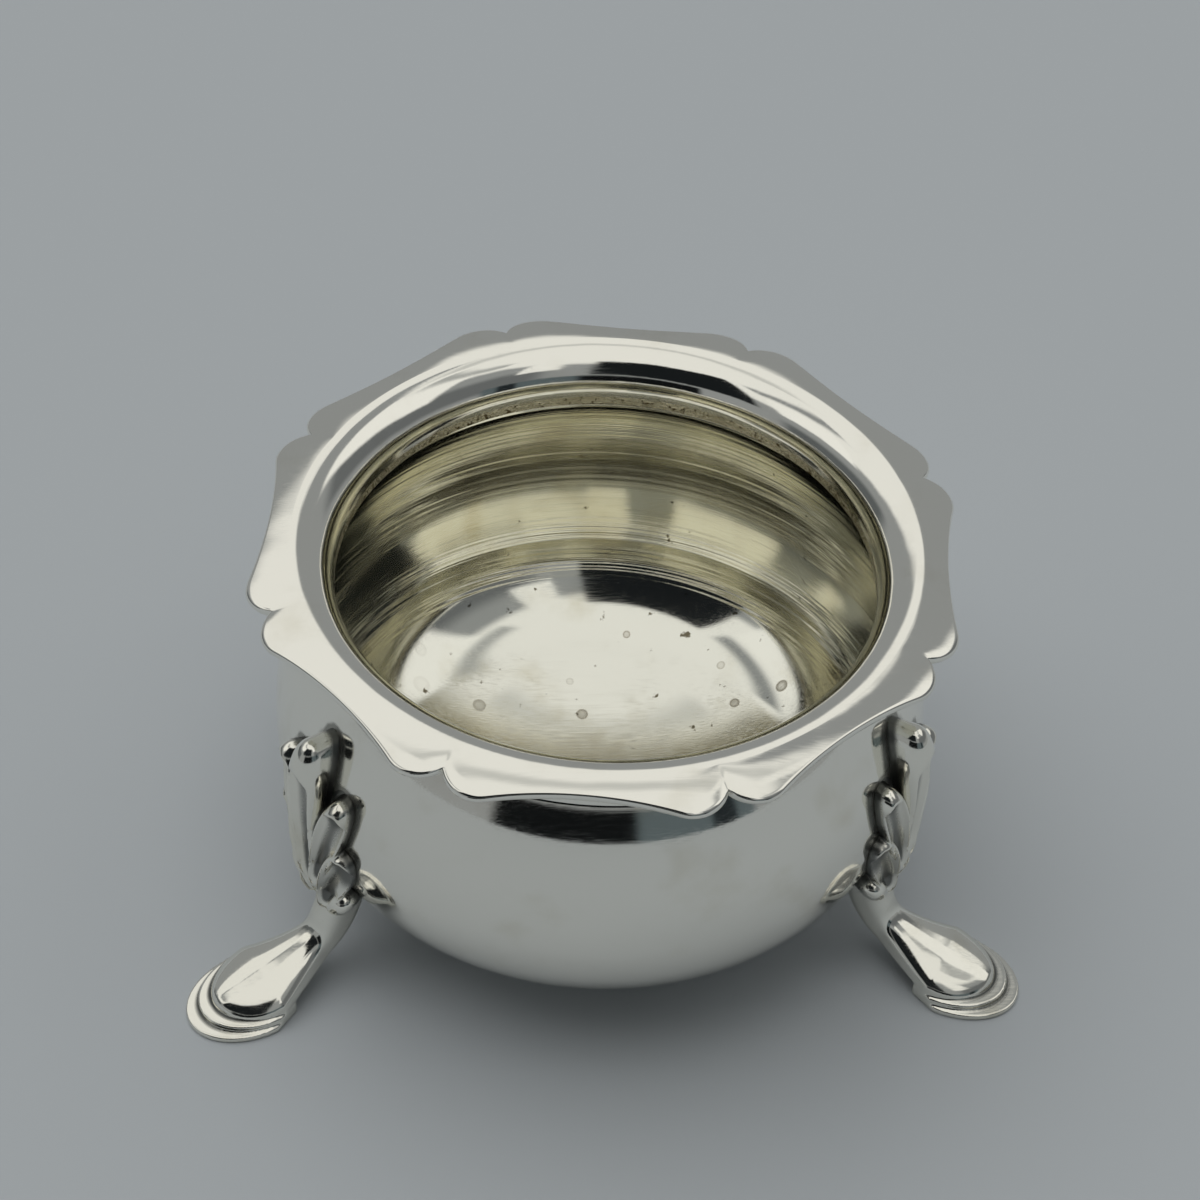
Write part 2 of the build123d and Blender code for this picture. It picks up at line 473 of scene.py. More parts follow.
@dataclass(frozen=True)
class LatheWall(Silver):
    """Inside wall of a spun bowl: level rings from the lathe, about 3 mm apart with finer ones between.

    Broad upright waves from planishing cross them, and there are a few small dark pits.
    """

    ring_size: float = 3.0
    ring_depth: float = 0.10
    ring_detail: float = 4.0
    ring_sharpness: float = 0.65
    facet_width: float = 8.0
    facet_height: float = 150.0
    facet_depth: float = 0.10
    grain: float = 0.75
    specks: Specks = Specks(1.1, (0.70, 0.78), "#7D7663")

    def relief(self, tree: Tree, place: Socket, normal: Socket) -> Socket:
        """Raise the lathe's rings and the upright waves.

        Args:
            tree: Node tree of the material.
            place: Place on the piece.
            normal: Normal of the polished skin.

        Returns:
            The normal with these marks.
        """
        height = add_node(tree, "SeparateXYZ", {"Vector": place}).outputs["Z"]
        turns = add_node(tree, "Math", {
            0: height, 1: 1 / (self.ring_size * MM),
        }, operation="MULTIPLY").outputs[0]
        rings = add_node(tree, "TexNoise", {
            "W": turns, "Scale": 1.0, "Detail": self.ring_detail, "Roughness": self.ring_sharpness,
        }, noise_dimensions="1D").outputs["Fac"]
        ringed = add_node(tree, "Bump", {
            "Height": rings, "Distance": self.ring_depth * MM, "Normal": normal,
        }).outputs["Normal"]
        around, upright = 1 / (self.facet_width * MM), 1 / (self.facet_height * MM)
        mapped = add_node(tree, "Mapping", {"Vector": place, "Scale": (around, around, upright)})
        facets = add_node(tree, "TexNoise", {
            "Vector": mapped.outputs["Vector"], "Scale": 1.0, "Detail": 1.0,
        }).outputs["Fac"]
        return add_node(tree, "Bump", {
            "Height": facets, "Distance": self.facet_depth * MM, "Normal": ringed,
        }).outputs["Normal"]


@dataclass(frozen=True)
class SaltedBase(Silver):
    """Inside base of the bowl: polished, with pale ring-shaped spots and pits that salt has left.

    Spots lie about one spacing apart, and their edge, middle and size are shares of it.
    """

    spot_spacing: float = 4.6
    spot_colour: str = "#C6C0B1"
    spot_chance: Point = (0.55, 1.0)
    spot_scale: Point = (0.5, 1.3)
    spot_edge: Point = (0.12, 0.15)
    spot_middle: Point = (0.05, 0.12)
    spot_hollow: float = 0.5
    spot_rough: float = 0.25
    specks: Specks = Specks(1.2, (0.68, 0.76), "#6F6856")

    def worn(self, tree: Tree, place: Socket, colour: Socket, rough: Socket) -> tuple[Socket, Socket]:
        """Add the spots and a few dark pits.

        Args:
            tree: Node tree of the material.
            place: Place on the piece.
            colour: Colour of the polish.
            rough: Roughness of the polish.

        Returns:
            Colour and roughness.
        """
        share = self.spots(tree, place)
        spotted = add_node(tree, "Mix", {
            "Factor": share, 6: colour, 7: linear(self.spot_colour),
        }, data_type="RGBA").outputs[2]
        dull = add_node(tree, "Math", {
            0: share, 1: self.spot_rough, 2: rough,
        }, operation="MULTIPLY_ADD").outputs[0]
        return super().worn(tree, place, spotted, dull)

    def spots(self, tree: Tree, place: Socket) -> Socket:
        """Draw the spots, of which some are faint and no two have one size.

        Args:
            tree: Node tree of the material.
            place: Place on the piece.

        Returns:
            How much of a spot is at each place, from 0 to 1.
        """
        cells = add_node(tree, "TexVoronoi", {
            "Vector": place, "Scale": 1 / (self.spot_spacing * MM),
        }, voronoi_dimensions="2D").outputs
        chance = add_node(tree, "SeparateColor", {"Color": cells["Color"]}).outputs
        scale = add_node(tree, "MapRange", {
            "Value": chance["Green"], "To Min": self.spot_scale[0], "To Max": self.spot_scale[1],
        }, **SMOOTH).outputs["Result"]
        away = add_node(tree, "Math", {0: cells["Distance"], 1: scale}, operation="DIVIDE").outputs[0]
        shares = [add_node(tree, "MapRange", {
            "Value": value, "From Min": low, "From Max": high, "To Min": start, "To Max": end,
        }, **SMOOTH).outputs["Result"] for value, (low, high), start, end in (
            (chance["Red"], self.spot_chance, 0.0, 1.0),
            (away, self.spot_edge, 1.0, 0.0),
            (away, self.spot_middle, self.spot_hollow, 1.0),
        )]
        ring = shares[0]
        for share in shares[1:]:
            ring = add_node(tree, "Math", {0: ring, 1: share}, operation="MULTIPLY").outputs[0]
        return ring


@dataclass(frozen=True)
class SolderSeam(Silver):
    """Silver solder at the joint of bowl and rim: dull, rough and specked with dirt."""

    specks: Specks = Specks(0.5, (0.55, 0.68), "#6B5D42")
    pit_depth: float = 0.06

    def relief(self, tree: Tree, place: Socket, normal: Socket) -> Socket:
        """Pit the solder under its specks.

        Args:
            tree: Node tree of the material.
            place: Place on the piece.
            normal: Normal of the polished skin.

        Returns:
            The normal with these marks.
        """
        pits = add_node(tree, "TexNoise", {
            "Vector": place, "Scale": 1 / (self.specks.size * MM), "Detail": 3.0,
        }).outputs["Fac"]
        return add_node(tree, "Bump", {
            "Height": pits, "Distance": self.pit_depth * MM, "Normal": normal,
        }).outputs["Normal"]


@dataclass
class SpunBowl:
    """The bowl: a thin spun shell, round-bellied and open at the neck. Sizes are in millimetres."""

    lower_curve: float = 13.5
    shoulder_spread: float = 10.0
    base_turn: float = 20.0
    neck_radius: float = 24.2
    neck_height: float = 1.5
    wall: float = 0.8
    belly_height: float = 17.8
    spacing: float = 0.36
    steps: int = 300
    base_top: float = 9.5
    joint_reach: float = 0.15
    joint_fade: float = 0.7
    joint_thinning: int = 3

    def __post_init__(self) -> None:
        """Take the belly's radius and the neck's height from the frame."""
        low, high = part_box("bowl")
        self.belly_radius = (high.x - low.x) / 2 / MM
        self.neck_edge = high.z / MM

    def skin(self, inset: float) -> list[Point]:
        """Profile of the bowl from its axis up to its edge, moved inwards.

        Args:
            inset: Distance from the outside.

        Returns:
            Points as (radius, height).
        """
        base_angle = math.radians(self.base_turn)
        lower_centre = self.belly_radius - self.lower_curve
        base_curve = self.lower_curve + lower_centre / math.sin(base_angle)
        base_centre = self.belly_height + (base_curve - self.lower_curve) * math.cos(base_angle)
        shoulder_centre = self.belly_radius - self.shoulder_spread
        full_turn = math.acos((self.neck_radius - shoulder_centre) / self.shoulder_spread)
        neck_base = self.neck_edge - self.neck_height
        rise = (neck_base - self.belly_height) / math.sin(full_turn)
        spread = self.shoulder_spread - inset
        turn = math.degrees(math.acos((self.neck_radius - inset - shoulder_centre) / spread))
        base_radius, lower_radius = base_curve - inset, self.lower_curve - inset
        points = arc((0, base_centre), (base_radius, base_radius), -90, self.base_turn, self.spacing)
        points += arc(
            (lower_centre, self.belly_height), (lower_radius, lower_radius),
            self.base_turn - 90, 90 - self.base_turn, self.spacing)[1:]
        shoulder = (spread, rise - inset)
        points += arc((shoulder_centre, self.belly_height), shoulder, 0, turn, self.spacing)[1:]
        points += straight(points[-1], (self.neck_radius - inset, self.neck_edge), self.spacing)
        points[0] = (0.0, points[0][1])
        return points

    def outside_radius(self, height: np.ndarray) -> np.ndarray:
        """Radius of the bowl's outside at each height, or 0 below its base."""
        radius, level = np.array(self.skin(0)).T
        return np.interp(height, level, radius, left=0)

    def build(self, outside: Finish, wall: Finish, base: Finish) -> Piece:
        """Turn the shell and dress its two sides.

        Args:
            outside: Finish of the belly.
            wall: Finish of the hollow's wall.
            base: Finish of the hollow's base.

        Returns:
            The bowl.
        """
        profile = self.skin(0) + self.skin(self.wall)[::-1]
        bowl = lathe("salt_bowl", profile, self.steps, closed=False)
        bpy.ops.object.shade_smooth_by_angle(angle=SMOOTH_ANGLE)
        dress(bowl, outside, wall, base)
        middle, base_top = Vector((0, 0, self.belly_height * MM)), self.base_top * MM
        paint_faces(bowl, 1, lambda centre, normal: normal.dot(middle - centre) > 0)
        paint_faces(bowl, 2, lambda centre, normal: normal.dot(middle - centre) > 0 and centre.z < base_top)
        seat(bowl, "bowl")
        return bowl

    def mark_joints(self, shell: Piece, feet: Sequence[Piece]) -> None:
        """Store how near each outside vertex is to a foot, from 0 to 1, for the tarnish at the joints.

        Args:
            shell: The finished bowl.
            feet: The finished feet.
        """
        corners = np.concatenate([vertex_places(foot) for foot in feet])
        touching = np.hypot(corners[:, 0], corners[:, 1]) / MM - self.outside_radius(corners[:, 2] / MM)
        corners = corners[touching < self.joint_reach][::self.joint_thinning]
        tree = KDTree(len(corners))
        for i, corner in enumerate(corners):
            tree.insert(corner, i)
        tree.balance()
        away = np.array([tree.find(vertex.co)[2] for vertex in shell.data.vertices]) / MM
        near = 1 - soft_step(away, self.joint_reach, self.joint_fade)
        mark = shell.data.attributes.new("joint", "FLOAT", "POINT")
        mark.data.foreach_set("value", near.astype(np.float32))


@dataclass
class ShapedRim:
    """The rim: a flared collar, a round throat and a drooping, lobed flange. Sizes are in millimetres."""

    neck_radius: float = 24.2
    bowl_wall: float = 0.8
    solder_gap: float = 0.05
    sheet: float = 0.8
    throat_curve: float = 3.5
    throat_rise: float = 0.5
    droop_curve: float = 12.0
    collar_depth: float = 1.2
    solder_fillet: float = 0.5
    seam_rise: float = 0.1
    bracket_count: int = 8
    flange_reach: float = 5.8
    ear_radius: float = 3.0
    ear_angle: float = 5.5
    waist_inset: float = 1.9
    notch_bearing: float = 15.0
    crease_depth: float = 0.10
    crease_angle: float = 2.2
    wave_depth: float = 0.10
    wave_counts: tuple[int, ...] = (3, 5, 7)
    spacing: float = 0.18
    steps: int = 720

    def __post_init__(self) -> None:
        """Work out the places that several methods share."""
        self.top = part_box("rim")[1].z / MM
        self.bore = self.neck_radius - self.bowl_wall - self.solder_gap - self.sheet
        self.crest = self.bore + self.throat_curve
        self.seat = self.top - self.throat_curve - self.throat_rise
        self.reach = self.neck_radius + self.flange_reach

    def edge_radius(self, bearing: np.ndarray) -> tuple[np.ndarray, np.ndarray]:
        """Radius of the lobed edge at each bearing.

        Args:
            bearing: Angles about the axis, in degrees.

        Returns:
            The radii, and the angles to the nearest notch in degrees.
        """
        step = 360 / self.bracket_count
        off_notch = (bearing - self.notch_bearing) % step
        off_notch = np.minimum(off_notch, step - off_notch)
        waist = self.reach - self.waist_inset
        ear_centre = self.reach - self.ear_radius
        ear_off = math.radians(step / 2 - self.ear_angle)
        along, across = ear_centre * math.cos(ear_off), ear_centre * math.sin(ear_off)
        gap = waist - along
        hollow = (self.ear_radius ** 2 - gap ** 2 - across ** 2) / (2 * (gap - self.ear_radius))
        towards = Vector((waist + hollow - along, -across)).normalized() * self.ear_radius
        meet = math.atan2(across + towards.y, along + towards.x)
        off_waist = np.radians(step / 2 - off_notch)
        off_ear = np.radians(off_notch - self.ear_angle)
        centre = waist + hollow
        hollow_side = np.sqrt(np.maximum(hollow ** 2 - (centre * np.sin(off_waist)) ** 2, 0))
        ear_side = np.sqrt(np.maximum(self.ear_radius ** 2 - (ear_centre * np.sin(off_ear)) ** 2, 0))
        hollow_edge = centre * np.cos(off_waist) - hollow_side
        ear_edge = ear_centre * np.cos(off_ear) + ear_side
        return np.where(off_waist < meet, hollow_edge, ear_edge), off_notch

    def droop(self, radius: np.ndarray) -> np.ndarray:
        """How far the flange lies below its crest at each radius."""
        return self.droop_curve - np.sqrt(self.droop_curve ** 2 - (radius - self.crest) ** 2)

    def section(self) -> list[Point]:
        """Closed profile through an ear: collar, throat, crest, flange, edge and underside.

        Returns:
            Points as (radius, height).
        """
        half = self.sheet / 2
        base = self.seat + self.throat_rise
        collar_foot = self.seat - self.collar_depth
        collar = self.neck_radius - self.bowl_wall - self.solder_gap
        fillet = self.crest - self.neck_radius
        turn = math.degrees(math.asin((self.reach - half - self.crest) / self.droop_curve))
        centre = (self.crest, self.top - self.droop_curve)
        under = self.droop_curve - self.sheet
        top_arc = arc(centre, (self.droop_curve, self.droop_curve), 90, -turn, self.spacing)
        under_arc = arc(centre, (under, under), 90 - turn, turn, self.spacing)
        middle = ((top_arc[-1][0] + under_arc[0][0]) / 2, (top_arc[-1][1] + under_arc[0][1]) / 2)
        points = [(self.bore, collar_foot + self.solder_fillet)]
        points += straight(points[-1], (self.bore, base), self.spacing)
        points += arc((self.crest, base), (self.throat_curve, self.throat_curve), 180, -90, self.spacing)[1:]
        points += top_arc[1:]
        points += arc(middle, (half, half), 90 - turn, -180, self.spacing)[1:]
        points += under_arc[1:]
        fillet_centre = (self.crest, self.top - self.sheet - fillet)
        points += arc(fillet_centre, (fillet, fillet), 90, 90, self.spacing)[1:]
        points += straight(points[-1], (self.neck_radius, self.seat), self.spacing)
        points += straight(points[-1], (collar, self.seat), self.spacing)
        points += straight(points[-1], (collar, collar_foot - self.solder_fillet / 2), self.spacing)
        points += straight(points[-1], points[0], self.spacing)
        return points

    def shape_edge(self, rim: Piece) -> None:
        """Draw the flange in to its lobed edge, a little wavy and creased at each notch.

        Args:
            rim: The turned rim.
        """
        places = vertex_places(rim) / MM
        radius = np.hypot(places[:, 0], places[:, 1])
        bearing = np.arctan2(places[:, 1], places[:, 0])
        edge, off_notch = self.edge_radius(np.degrees(bearing))
        share = np.maximum(radius - self.crest, 0) / (self.reach - self.crest)
        drawn = np.where(share > 0, self.crest + share * (edge - self.crest), radius)
        places[:, :2] *= (drawn / radius)[:, None]
        flange = np.maximum(radius, self.crest), np.maximum(drawn, self.crest)
        crease = self.crease_depth * np.exp(-(off_notch / self.crease_angle) ** 2) * share ** 2
        wave = sum(np.sin(count * bearing + count) for count in self.wave_counts) - len(self.wave_counts)
        hollow = crease - self.wave_depth / 2 * wave * share
        places[:, 2] += self.droop(flange[0]) - self.droop(flange[1]) - hollow
        rim.data.vertices.foreach_set("co", (places * MM).ravel())
        rim.data.update()

    def build(self, polished: Finish, solder: Finish) -> Piece:
        """Turn the section, draw its edge in to lobes and dress it.

        Args:
            polished: Finish of the rim.
            solder: Finish of the collar's inside, where it is soldered to the bowl.

        Returns:
            The rim.
        """
        rim = lathe("shaped_rim", self.section(), self.steps, closed=True)
        self.shape_edge(rim)
        bpy.ops.object.shade_smooth_by_angle(angle=SMOOTH_ANGLE)
        dress(rim, polished, solder)
        seam_top = (self.seat + self.seam_rise) * MM
        seam_radius = (self.bore + self.sheet / 2) * MM
        paint_faces(rim, 1, lambda centre, normal: centre.z < seam_top and centre.xy.length < seam_radius)
        seat(rim, "rim")
        return rim


@dataclass(frozen=True)
class Petal:
    """One petal of the shell knee: a plump spindle with a dished almond face, rooted on the belly.

    Places are (out from the belly's widest circle, sideways, up from its height), in millimetres.
    """

    tip: Place
    head: Place
    half_width: float
    half_depth: float
    facing: float = 0.0
    bow: float = 0.3
    dish: float = 0.7
    face_level: float = 0.45
    face_foot: Point = (0.05, 0.3)
    face_top: float = 0.84
    face_fade: float = 0.12
    slimness: float = 0.35
    fullness: float = 0.8
    root: float = 3.0
    root_turn: float = 0.35
    root_taper: float = 0.15

    def mirrored(self) -> "Petal":
        """The same petal on the other side of the foot."""
        flip = [(out, -across, up) for out, across, up in (self.tip, self.head)]
        return replace(self, tip=flip[0], head=flip[1], facing=-self.facing)

    def places(self, unit: np.ndarray) -> np.ndarray:
        """Move the points of a unit sphere, whose poles are the petal's ends, to the petal.

        Args:
            unit: Points of the sphere, one row each.

        Returns:
            Their places on the petal.
        """
        share = (unit[:, 2] + 1) / 2
        spread = np.sqrt(np.maximum(1 - unit[:, 2] ** 2, TINY))
        across, out = unit[:, 0] / spread, unit[:, 1] / spread
        size = spread ** self.fullness * (self.slimness + (1 - self.slimness) * share)
        above = soft_step(share, self.face_top, self.face_top + self.face_fade)
        ends = soft_step(share, *self.face_foot) * (1 - above)
        level = 1 - (1 - self.face_level) * ends
        border = np.maximum(1 - level ** 2, TINY)
        hollow = self.dish * ends * np.maximum(1 - across ** 2 / border, 0)
        lift = np.where(out > level, level * size * self.half_depth - hollow, out * size * self.half_depth)
        inside = soft_step(-out, 0, self.root_turn)
        lift += self.bow * 4 * share * (1 - share) - self.root * inside
        tip, head = np.array(self.tip), np.array(self.head)
        turn = math.radians(self.facing)
        outward = np.array((math.cos(turn), math.sin(turn), 0))
        sideways = np.cross(head - tip, outward)
        sideways /= np.linalg.norm(sideways)
        width = self.half_width * size * across * (1 - self.root_taper * inside)
        return tip + share[:, None] * (head - tip) + width[:, None] * sideways + lift[:, None] * outward


@dataclass(frozen=True)
class Leg:
    """Slim ankle that bends out from the knee and spreads into a pillowed pad. Sizes are in millimetres.

    Each station is (distance from the bowl's axis, height, outward lean in degrees, thickness).
    """

    stations: tuple[tuple[float, float, float, float], ...] = (
        (25.4, 12.4, 84.0, 3.0),
        (25.9, 9.2, 78.0, 3.0),
        (26.9, 6.3, 62.0, 2.7),
        (28.7, 3.9, 30.0, 2.1),
        (32.0, 2.2, 20.0, 1.9),
        (35.3, 1.25, 12.0, 1.7),
        (38.8, 0.70, 5.0, 1.5),
    )
    ankle_half_width: float = 1.7
    pad_half_width: float = 3.85
    flank_power: float = 1.15
    waist: float = 28.6
    widest: float = 33.9
    tip: float = 38.8
    crown: float = 1.0
    squareness: float = 4.0

    def half_width(self, out: np.ndarray) -> np.ndarray:
        """Half the pad's width along the leg.

        Args:
            out: Distances from the bowl's axis.

        Returns:
            The half-widths there.
        """
        flank = np.clip((out - self.waist) / (self.widest - self.waist), 0, 1)
        growth = (self.pad_half_width - self.ankle_half_width) * flank ** self.flank_power
        toe = np.clip((out - self.widest) / (self.tip - self.widest), 0, 1)
        return (self.ankle_half_width + growth) * np.sqrt(1 - toe ** 2)

    def places(self, unit: np.ndarray) -> np.ndarray:
        """Move the points of a unit sphere, whose poles are the leg's ends, to the leg.

        Args:
            unit: Points of the sphere, one row each.

        Returns:
            Their places on the leg.
        """
        share = (unit[:, 2] + 1) / 2
        spread = np.sqrt(np.maximum(1 - unit[:, 2] ** 2, TINY))
        across, high = unit[:, 0] / spread, unit[:, 1] / spread
        power = 2 / self.squareness
        across = np.sign(across) * np.abs(across) ** power
        high = np.sign(high) * np.abs(high) ** power
        out, up, heading, thick = [curve_through(column, share) for column in zip(*self.stations)]
        half = self.half_width(out)
        pillow = self.crown * (1 - across ** 2) * np.sqrt(half / self.pad_half_width) * (high > 0)
        lift = thick / 2 * high + pillow * np.minimum(1, half / self.ankle_half_width)
        turn = np.radians(heading)
        return np.stack([out + lift * np.sin(turn), half * across, up + lift * np.cos(turn)], axis=1)


@dataclass
class CastFeet:
    """Three feet from one mould: a shell knee, a slim ankle and a stepped toe. Sizes are in millimetres."""

    belly_radius: float = 28.0
    belly_height: float = 17.8
    petals: tuple[Petal, ...] = (
        Petal((0.6, 0.0, -7.4), (0.1, 0.0, 10.7), 2.4, 2.7, face_level=0.6, face_top=0.76),
        Petal((0.9, 0.5, -6.2), (-0.5, 4.1, 6.8), 1.9, 2.7, facing=22.0, bow=0.5),
        Petal((0.5, 0.9, -8.6), (-0.6, 4.4, 0.9), 2.1, 2.6, facing=30.0, bow=0.4),
        Petal((-0.2, 0.8, -9.4), (-0.9, 3.7, -5.4), 1.4, 1.9, facing=30.0, dish=0.0, face_level=1.0),
    )
    core_middle: Place = (-1.6, 0.0, -1.0)
    core_size: Place = (1.7, 3.4, 8.4)
    toe_tip: float = 41.19
    toe_half_width: float = 4.45
    toe_length: float = 6.1
    step_depth: float = 1.2
    step_taper: float = 0.3
    step_rise: float = 0.6
    pad_slope: float = 0.45
    step_round: float = 0.2
    round_steps: int = 3
    toe_corners: int = 256
    toe_spacing: float = 0.15
    toe_middle: float = 0.5
    petal_grid: tuple[int, int] = (48, 56)
    core_grid: tuple[int, int] = (48, 48)
    leg_grid: tuple[int, int] = (64, 120)
    grain: float = 0.112
    softening: int = 4
    softening_share: float = 0.5
    crevice_rounds: int = 96
    crevice_depth: float = 0.2
    joint_start: float = 0.1
    joint_reach: float = 1.4
    bearings: tuple[tuple[str, float], ...] = (
        ("foot_back", 90.0),
        ("foot_left", 210.0),
        ("foot_right", 330.0),
    )

    def ball(self, moved: Reading, around: int, along: int) -> Piece:
        """Add a unit ball and move its points.

        Args:
            moved: Gives each point of the ball its place in millimetres.
            around: Segments round the ball.
            along: Rings from pole to pole.

        Returns:
            The shaped ball.
        """
        bpy.ops.object.select_all(action="DESELECT")
        bpy.ops.mesh.primitive_uv_sphere_add(segments=around, ring_count=along, radius=1, location=(0, 0, 0))
        piece = bpy.context.active_object
        piece.data.vertices.foreach_set("co", (moved(vertex_places(piece)) * MM).ravel())
        return piece

    def on_belly(self, places: np.ndarray) -> np.ndarray:
        """Count places from the belly's widest circle instead of from the table's middle."""
        return places + np.array((self.belly_radius, 0, self.belly_height))

    def toe_step(self, step: int) -> Piece:
        """One flat layer of the toe, with its edge rounded.

        Args:
            step: 0 for the lowest layer, 1 for the one above it.

        Returns:
            The layer.
        """
        half_width = self.toe_half_width - step * self.step_taper
        length = self.toe_length - step * (self.step_depth - self.step_taper / self.pad_slope)
        tip = self.toe_tip - step * self.step_depth
        widest = tip - length
        start = self.toe_tip - self.toe_length - 2 * self.step_depth
        heel_half = half_width - (widest - start) * self.pad_slope
        outline = arc((widest, 0), (length, half_width), -90, 180, self.toe_spacing)
        for corner in ((start, heel_half), (start, -heel_half), outline[0]):
            outline += straight(outline[-1], corner, self.toe_spacing)
        outline = np.array(outline[:-1])
        middle = np.array((widest - self.toe_middle, 0))
        bearing = np.arctan2(*(outline - middle).T[::-1])
        order = np.argsort(bearing)
        bpy.ops.object.select_all(action="DESELECT")
        bpy.ops.mesh.primitive_cylinder_add(
            vertices=self.toe_corners, radius=1, depth=(step + 1) * self.step_rise * MM,
            location=(0, 0, (step + 1) * self.step_rise * MM / 2))
        layer = bpy.context.active_object
        bpy.ops.object.transform_apply(location=True)
        places = vertex_places(layer)
        turn = np.arctan2(places[:, 1], places[:, 0])
        for i in (0, 1):
            places[:, i] = np.interp(turn, bearing[order], outline[order, i], period=2 * math.pi) * MM
        layer.data.vertices.foreach_set("co", places.ravel())
        layer.data.update()
        apply_modifier(
            layer, "BEVEL", width=self.step_round * MM, segments=self.round_steps, limit_method="ANGLE")
        return layer

    def casting(self, belly: Reading) -> Piece:
        """Model one foot, standing out along +X, and soften it to one skin as a polished casting is.

        Args:
            belly: Gives the radius of the bowl's outside at each height, in millimetres.

        Returns:
            The foot.
        """
        petals = list(self.petals) + [petal.mirrored() for petal in self.petals if petal.head[1]]
        parts = [self.ball(lambda unit, p=petal: self.on_belly(p.places(unit)), *self.petal_grid)
                 for petal in petals]
        middle, size = np.array(self.core_middle), np.array(self.core_size)
        parts.append(self.ball(lambda unit: self.on_belly(unit * size + middle), *self.core_grid))
        parts.append(self.ball(Leg().places, *self.leg_grid))
        parts += [self.toe_step(step) for step in (0, 1)]
        bpy.ops.object.select_all(action="DESELECT")
        for part in parts:
            part.select_set(True)
        foot = parts[0]
        bpy.context.view_layer.objects.active = foot
        bpy.ops.object.join()
        apply_modifier(foot, "REMESH", mode="VOXEL", voxel_size=self.grain * MM)
        apply_modifier(foot, "SMOOTH", factor=self.softening_share, iterations=self.softening)
        bpy.ops.object.shade_smooth()
        places = vertex_places(foot) / MM
        radius = np.hypot(places[:, 0], places[:, 1])
        places[:, :2] *= np.maximum(belly(places[:, 2]) / radius, 1)[:, None]
        places[:, 2] = np.maximum(places[:, 2], 0)
        foot.data.vertices.foreach_set("co", (places * MM).ravel())
        foot.data.update()
        self.mark_crevices(foot, np.hypot(places[:, 0], places[:, 1]) - belly(places[:, 2]))
        return foot

    def mark_crevices(self, foot: Piece, clear: np.ndarray) -> None:
        """Store how deep each vertex lies in a crevice, from 0 to 1, where polish can't reach.

        Args:
            foot: The casting.
            clear: Each vertex's distance from the belly, in millimetres.
        """
        places = vertex_places(foot)
        edges = np.empty(len(foot.data.edges) * 2, np.int64)
        foot.data.edges.foreach_get("vertices", edges)
        first, last = edges.reshape(-1, 2).T
        normals = np.empty(len(places) * 3)
        foot.data.vertices.foreach_get("normal", normals)
        ends, others = np.concatenate([first, last]), np.concatenate([last, first])
        count = np.bincount(ends, minlength=len(places))
        smooth = places.copy()
        for _ in range(self.crevice_rounds):
            totals = [np.bincount(ends, weights=smooth[others, i], minlength=len(places)) for i in range(3)]
            smooth = np.stack([total / count for total in totals], axis=1)
        lift = ((smooth - places) * normals.reshape(-1, 3)).sum(axis=1)
        joint = 1 - soft_step(clear, self.joint_start, self.joint_reach)
        depth = np.maximum(np.clip(lift / (self.crevice_depth * MM), 0, 1), joint)
        mark = foot.data.attributes.new("crevice", "FLOAT", "POINT")
        mark.data.foreach_set("value", depth)

    def build(self, polished: Finish, belly: Reading) -> list[Piece]:
        """Make the three feet from the one casting.

        Args:
            polished: Finish of the castings.
            belly: Gives the radius of the bowl's outside at each height, in millimetres.

        Returns:
            The feet.
        """
        casting = self.casting(belly)
        dress(casting, polished)
        feet = []
        for node, bearing in self.bearings:
            foot = casting.copy()
            foot.data = casting.data.copy()
            foot.name = "cast_" + node
            foot.data.transform(Matrix.Rotation(math.radians(bearing), 4, "Z"))
            bpy.context.scene.collection.objects.link(foot)
            seat(foot, node)
            feet.append(foot)
        bpy.data.objects.remove(casting)
        return feet


@dataclass
class PhotoCamera:
    """The photograph's viewpoint. Lengths are in millimetres, angles in degrees."""

    sight_height: float = 36.8
    distance: float = 221.9
    elevation: float = 43.08
    bearing: float = 5.80
    roll: float = 2.86
    aim_right: float = -0.41
    aim_up: float = -4.98
    focal_pixels: float = 2700.5
    frame_pixels: float = 1200.0
    sensor: float = 36.0
    nearest: float = 10.0

    def build(self) -> None:
        """Place the camera and make it the scene's own."""
        rise, turn = math.radians(self.elevation), math.radians(self.bearing)
        level = Vector((math.sin(turn), math.cos(turn), 0))
        right = Vector((math.cos(turn), -math.sin(turn), 0))
        sight = level * math.cos(rise) - Vector((0, 0, math.sin(rise)))
        centre = Vector((0, 0, self.sight_height))
        eye = centre - sight * self.distance
        aim = centre + right * self.aim_right + right.cross(sight) * self.aim_up
        forward = (aim - eye).normalized()
        across = forward.cross(Vector((0, 0, 1))).normalized()
        upward = across.cross(forward)
        lean = math.radians(self.roll)
        x_axis = across * math.cos(lean) + upward * math.sin(lean)
        y_axis = upward * math.cos(lean) - across * math.sin(lean)
        lens = bpy.data.cameras.new("photo_camera")
        lens.sensor_width = self.sensor
        lens.lens = self.sensor * self.focal_pixels / self.frame_pixels
        lens.clip_start = self.nearest * MM
        camera = bpy.data.objects.new("photo_camera", lens)
        turned = Matrix((x_axis, y_axis, -forward)).transposed().to_4x4()
        camera.matrix_world = Matrix.Translation(eye * MM) @ turned
        bpy.context.scene.collection.objects.link(camera)
        bpy.context.scene.camera = camera


